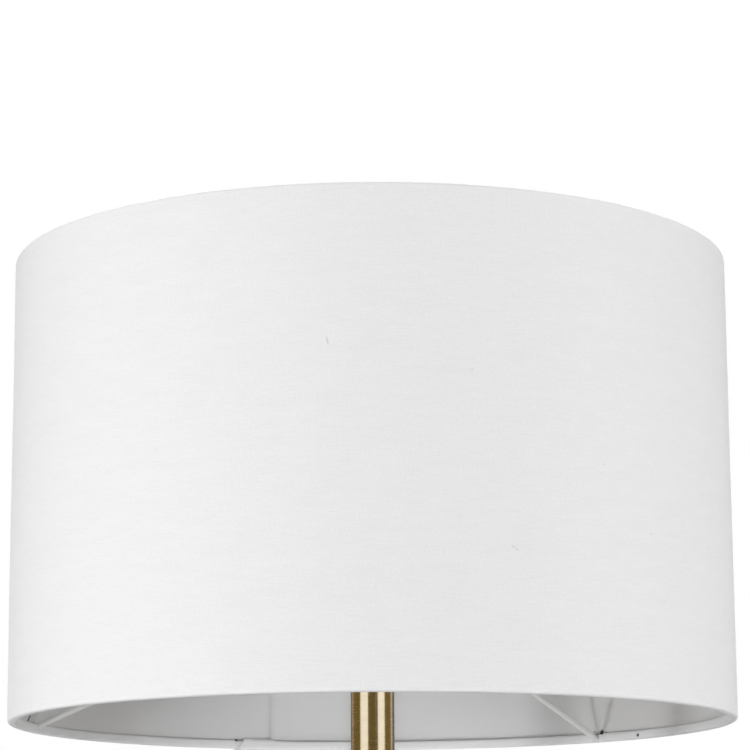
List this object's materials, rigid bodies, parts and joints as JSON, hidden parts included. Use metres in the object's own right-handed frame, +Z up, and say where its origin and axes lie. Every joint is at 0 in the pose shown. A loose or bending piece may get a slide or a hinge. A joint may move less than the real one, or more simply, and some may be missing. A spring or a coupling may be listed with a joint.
{
  "type": "floor lamp",
  "caption": "Straight brass floor lamp: weighted round base, jointed tube pole, screw lampholder with a turn-knob switch, and a white fabric drum shade on a raised spider.",
  "frame": {"origin": "on the floor, under the middle of the base", "axes": "+Z up along the pole, -Y towards the picture's viewer, +X to the viewer's right and along the switch spindle, +Y to the cord inlet"},
  "size_m": [0.4, 0.4, 1.5502],
  "materials": {
    "shade_fabric": "plain woven cotton, matt",
    "liner_plastic": "white laminated sheet, satin",
    "ring_wire": "white powder coat",
    "spider_white": "white powder coat",
    "holder_plastic": "black phenolic moulding",
    "knob_plastic": "black phenolic moulding",
    "core_ceramic": "unglazed",
    "contact_metal": "bare sheet",
    "zinc_steel": "zinc plated",
    "insert_steel": "turned",
    "bulb_glass": "opal",
    "bulb_metal": "pressed",
    "bulb_insulator": "black glass",
    "brass": "brushed and lacquered",
    "lead_insulation": "insulated lead",
    "base_weight": "cast cement",
    "base_felt": "pressed felt",
    "bush_rubber": "moulded"
  },
  "bodies": {
    "lamp": {"shade_fabric": "shade_fabric", "shade_liner": "liner_plastic", "shade_top_ring": "ring_wire", "shade_bottom_ring": "ring_wire", "spider_arms": "spider_white", "fitter_ring": "spider_white", "shade_lock_ring": "holder_plastic", "holder_sleeve": "holder_plastic", "holder_cap": "holder_plastic", "holder_core": "core_ceramic", "screw_shell": "contact_metal", "centre_contact": "contact_metal", "terminal_screws": "contact_metal", "top_nipple": "zinc_steel", "section_nipples": "zinc_steel", "base_nipple": "zinc_steel", "base_washer": "zinc_steel", "base_nut": "zinc_steel", "tube_inserts": "insert_steel", "bulb_glass": "bulb_glass", "bulb_cap": "bulb_metal", "bulb_tip": "bulb_metal", "bulb_insulator": "bulb_insulator", "socket_cup": "brass", "pole_upper": "brass", "pole_middle": "brass", "pole_lower": "brass", "base_collar": "brass", "base_cover": "brass", "pole_wiring": "lead_insulation", "base_weight": "base_weight", "base_pad": "base_felt", "cord_bush": "bush_rubber"},
    "switch": {"switch_knob": "knob_plastic", "switch_shaft": "zinc_steel"}
  },
  "joints": [
    {"name": "switch_knob_turn", "type": "hinge", "parent": "lamp", "child": "switch", "pos_m": [0.0274, 0, 1.3532], "axis": [1, 0, 0], "continuous": true}
  ]
}
